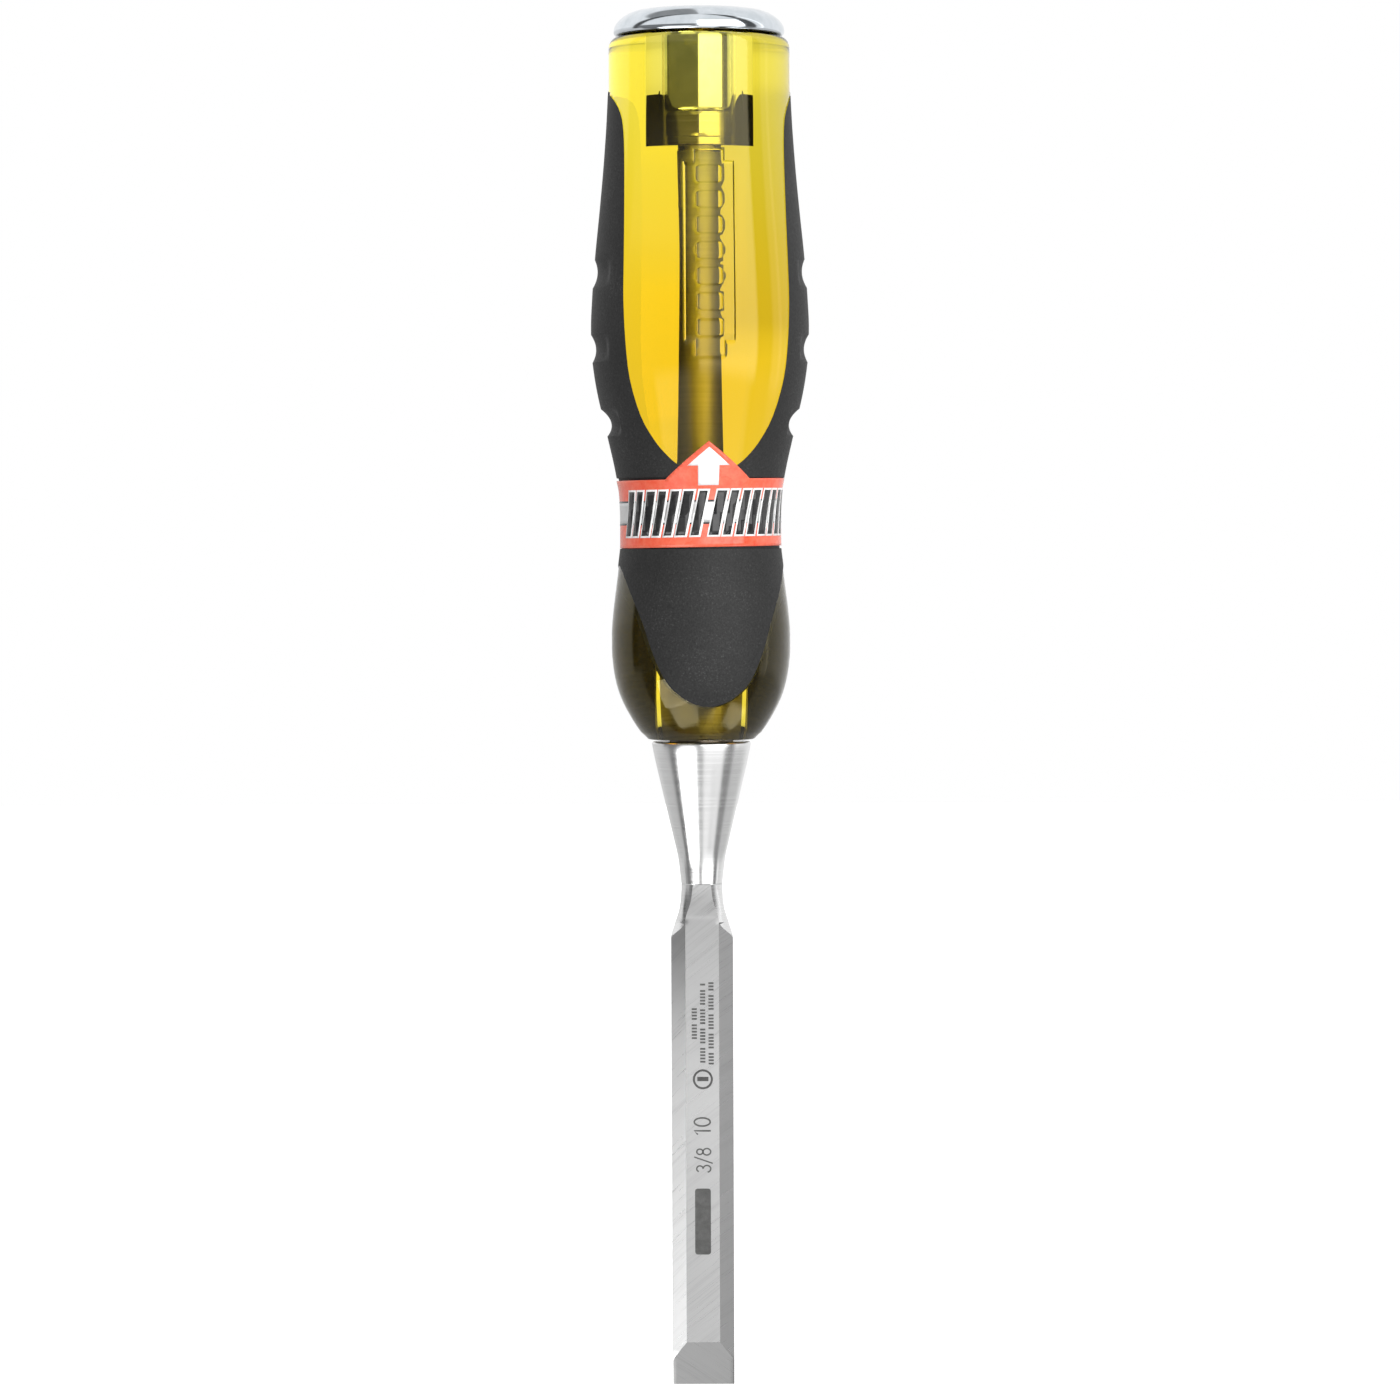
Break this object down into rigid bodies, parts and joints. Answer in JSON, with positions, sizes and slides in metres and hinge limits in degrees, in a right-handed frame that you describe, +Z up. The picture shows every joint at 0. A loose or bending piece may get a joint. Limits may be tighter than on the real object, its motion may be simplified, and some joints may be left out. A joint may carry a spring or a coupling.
{
  "type": "bench chisel",
  "caption": "Bevel-edged bench chisel: 10 mm steel blade, conical bolster, clear amber handle with a soft black grip and printed band, through tang and steel strike cap.",
  "frame": {"origin": "on the tool's axis, at the level of the cutting edge", "axes": "+Z up the tool's axis, from the cutting edge to the strike cap; +Y out of the blade's flat back, so the bevelled face looks along -Y; +X across the blade"},
  "size_m": [0.035, 0.0349, 0.2223],
  "materials": {
    "blade_steel": "ground with fine slanting lines on the flats, turned on the bolster",
    "amber": "clear amber, polished",
    "rubber_black": "soft, fine matt grain",
    "label_red": "printed film, satin",
    "cap_plating": "bright plating",
    "nut_steel": "plain turned steel",
    "washer_steel": "plain stamped steel"
  },
  "bodies": {
    "root": {"blade_tang": "blade_steel", "handle_core": "amber", "grip_sleeve": "rubber_black", "label_sleeve": "label_red", "strike_cap": "cap_plating", "tang_nut": "nut_steel", "tang_washer": "washer_steel"}
  },
  "joints": []
}
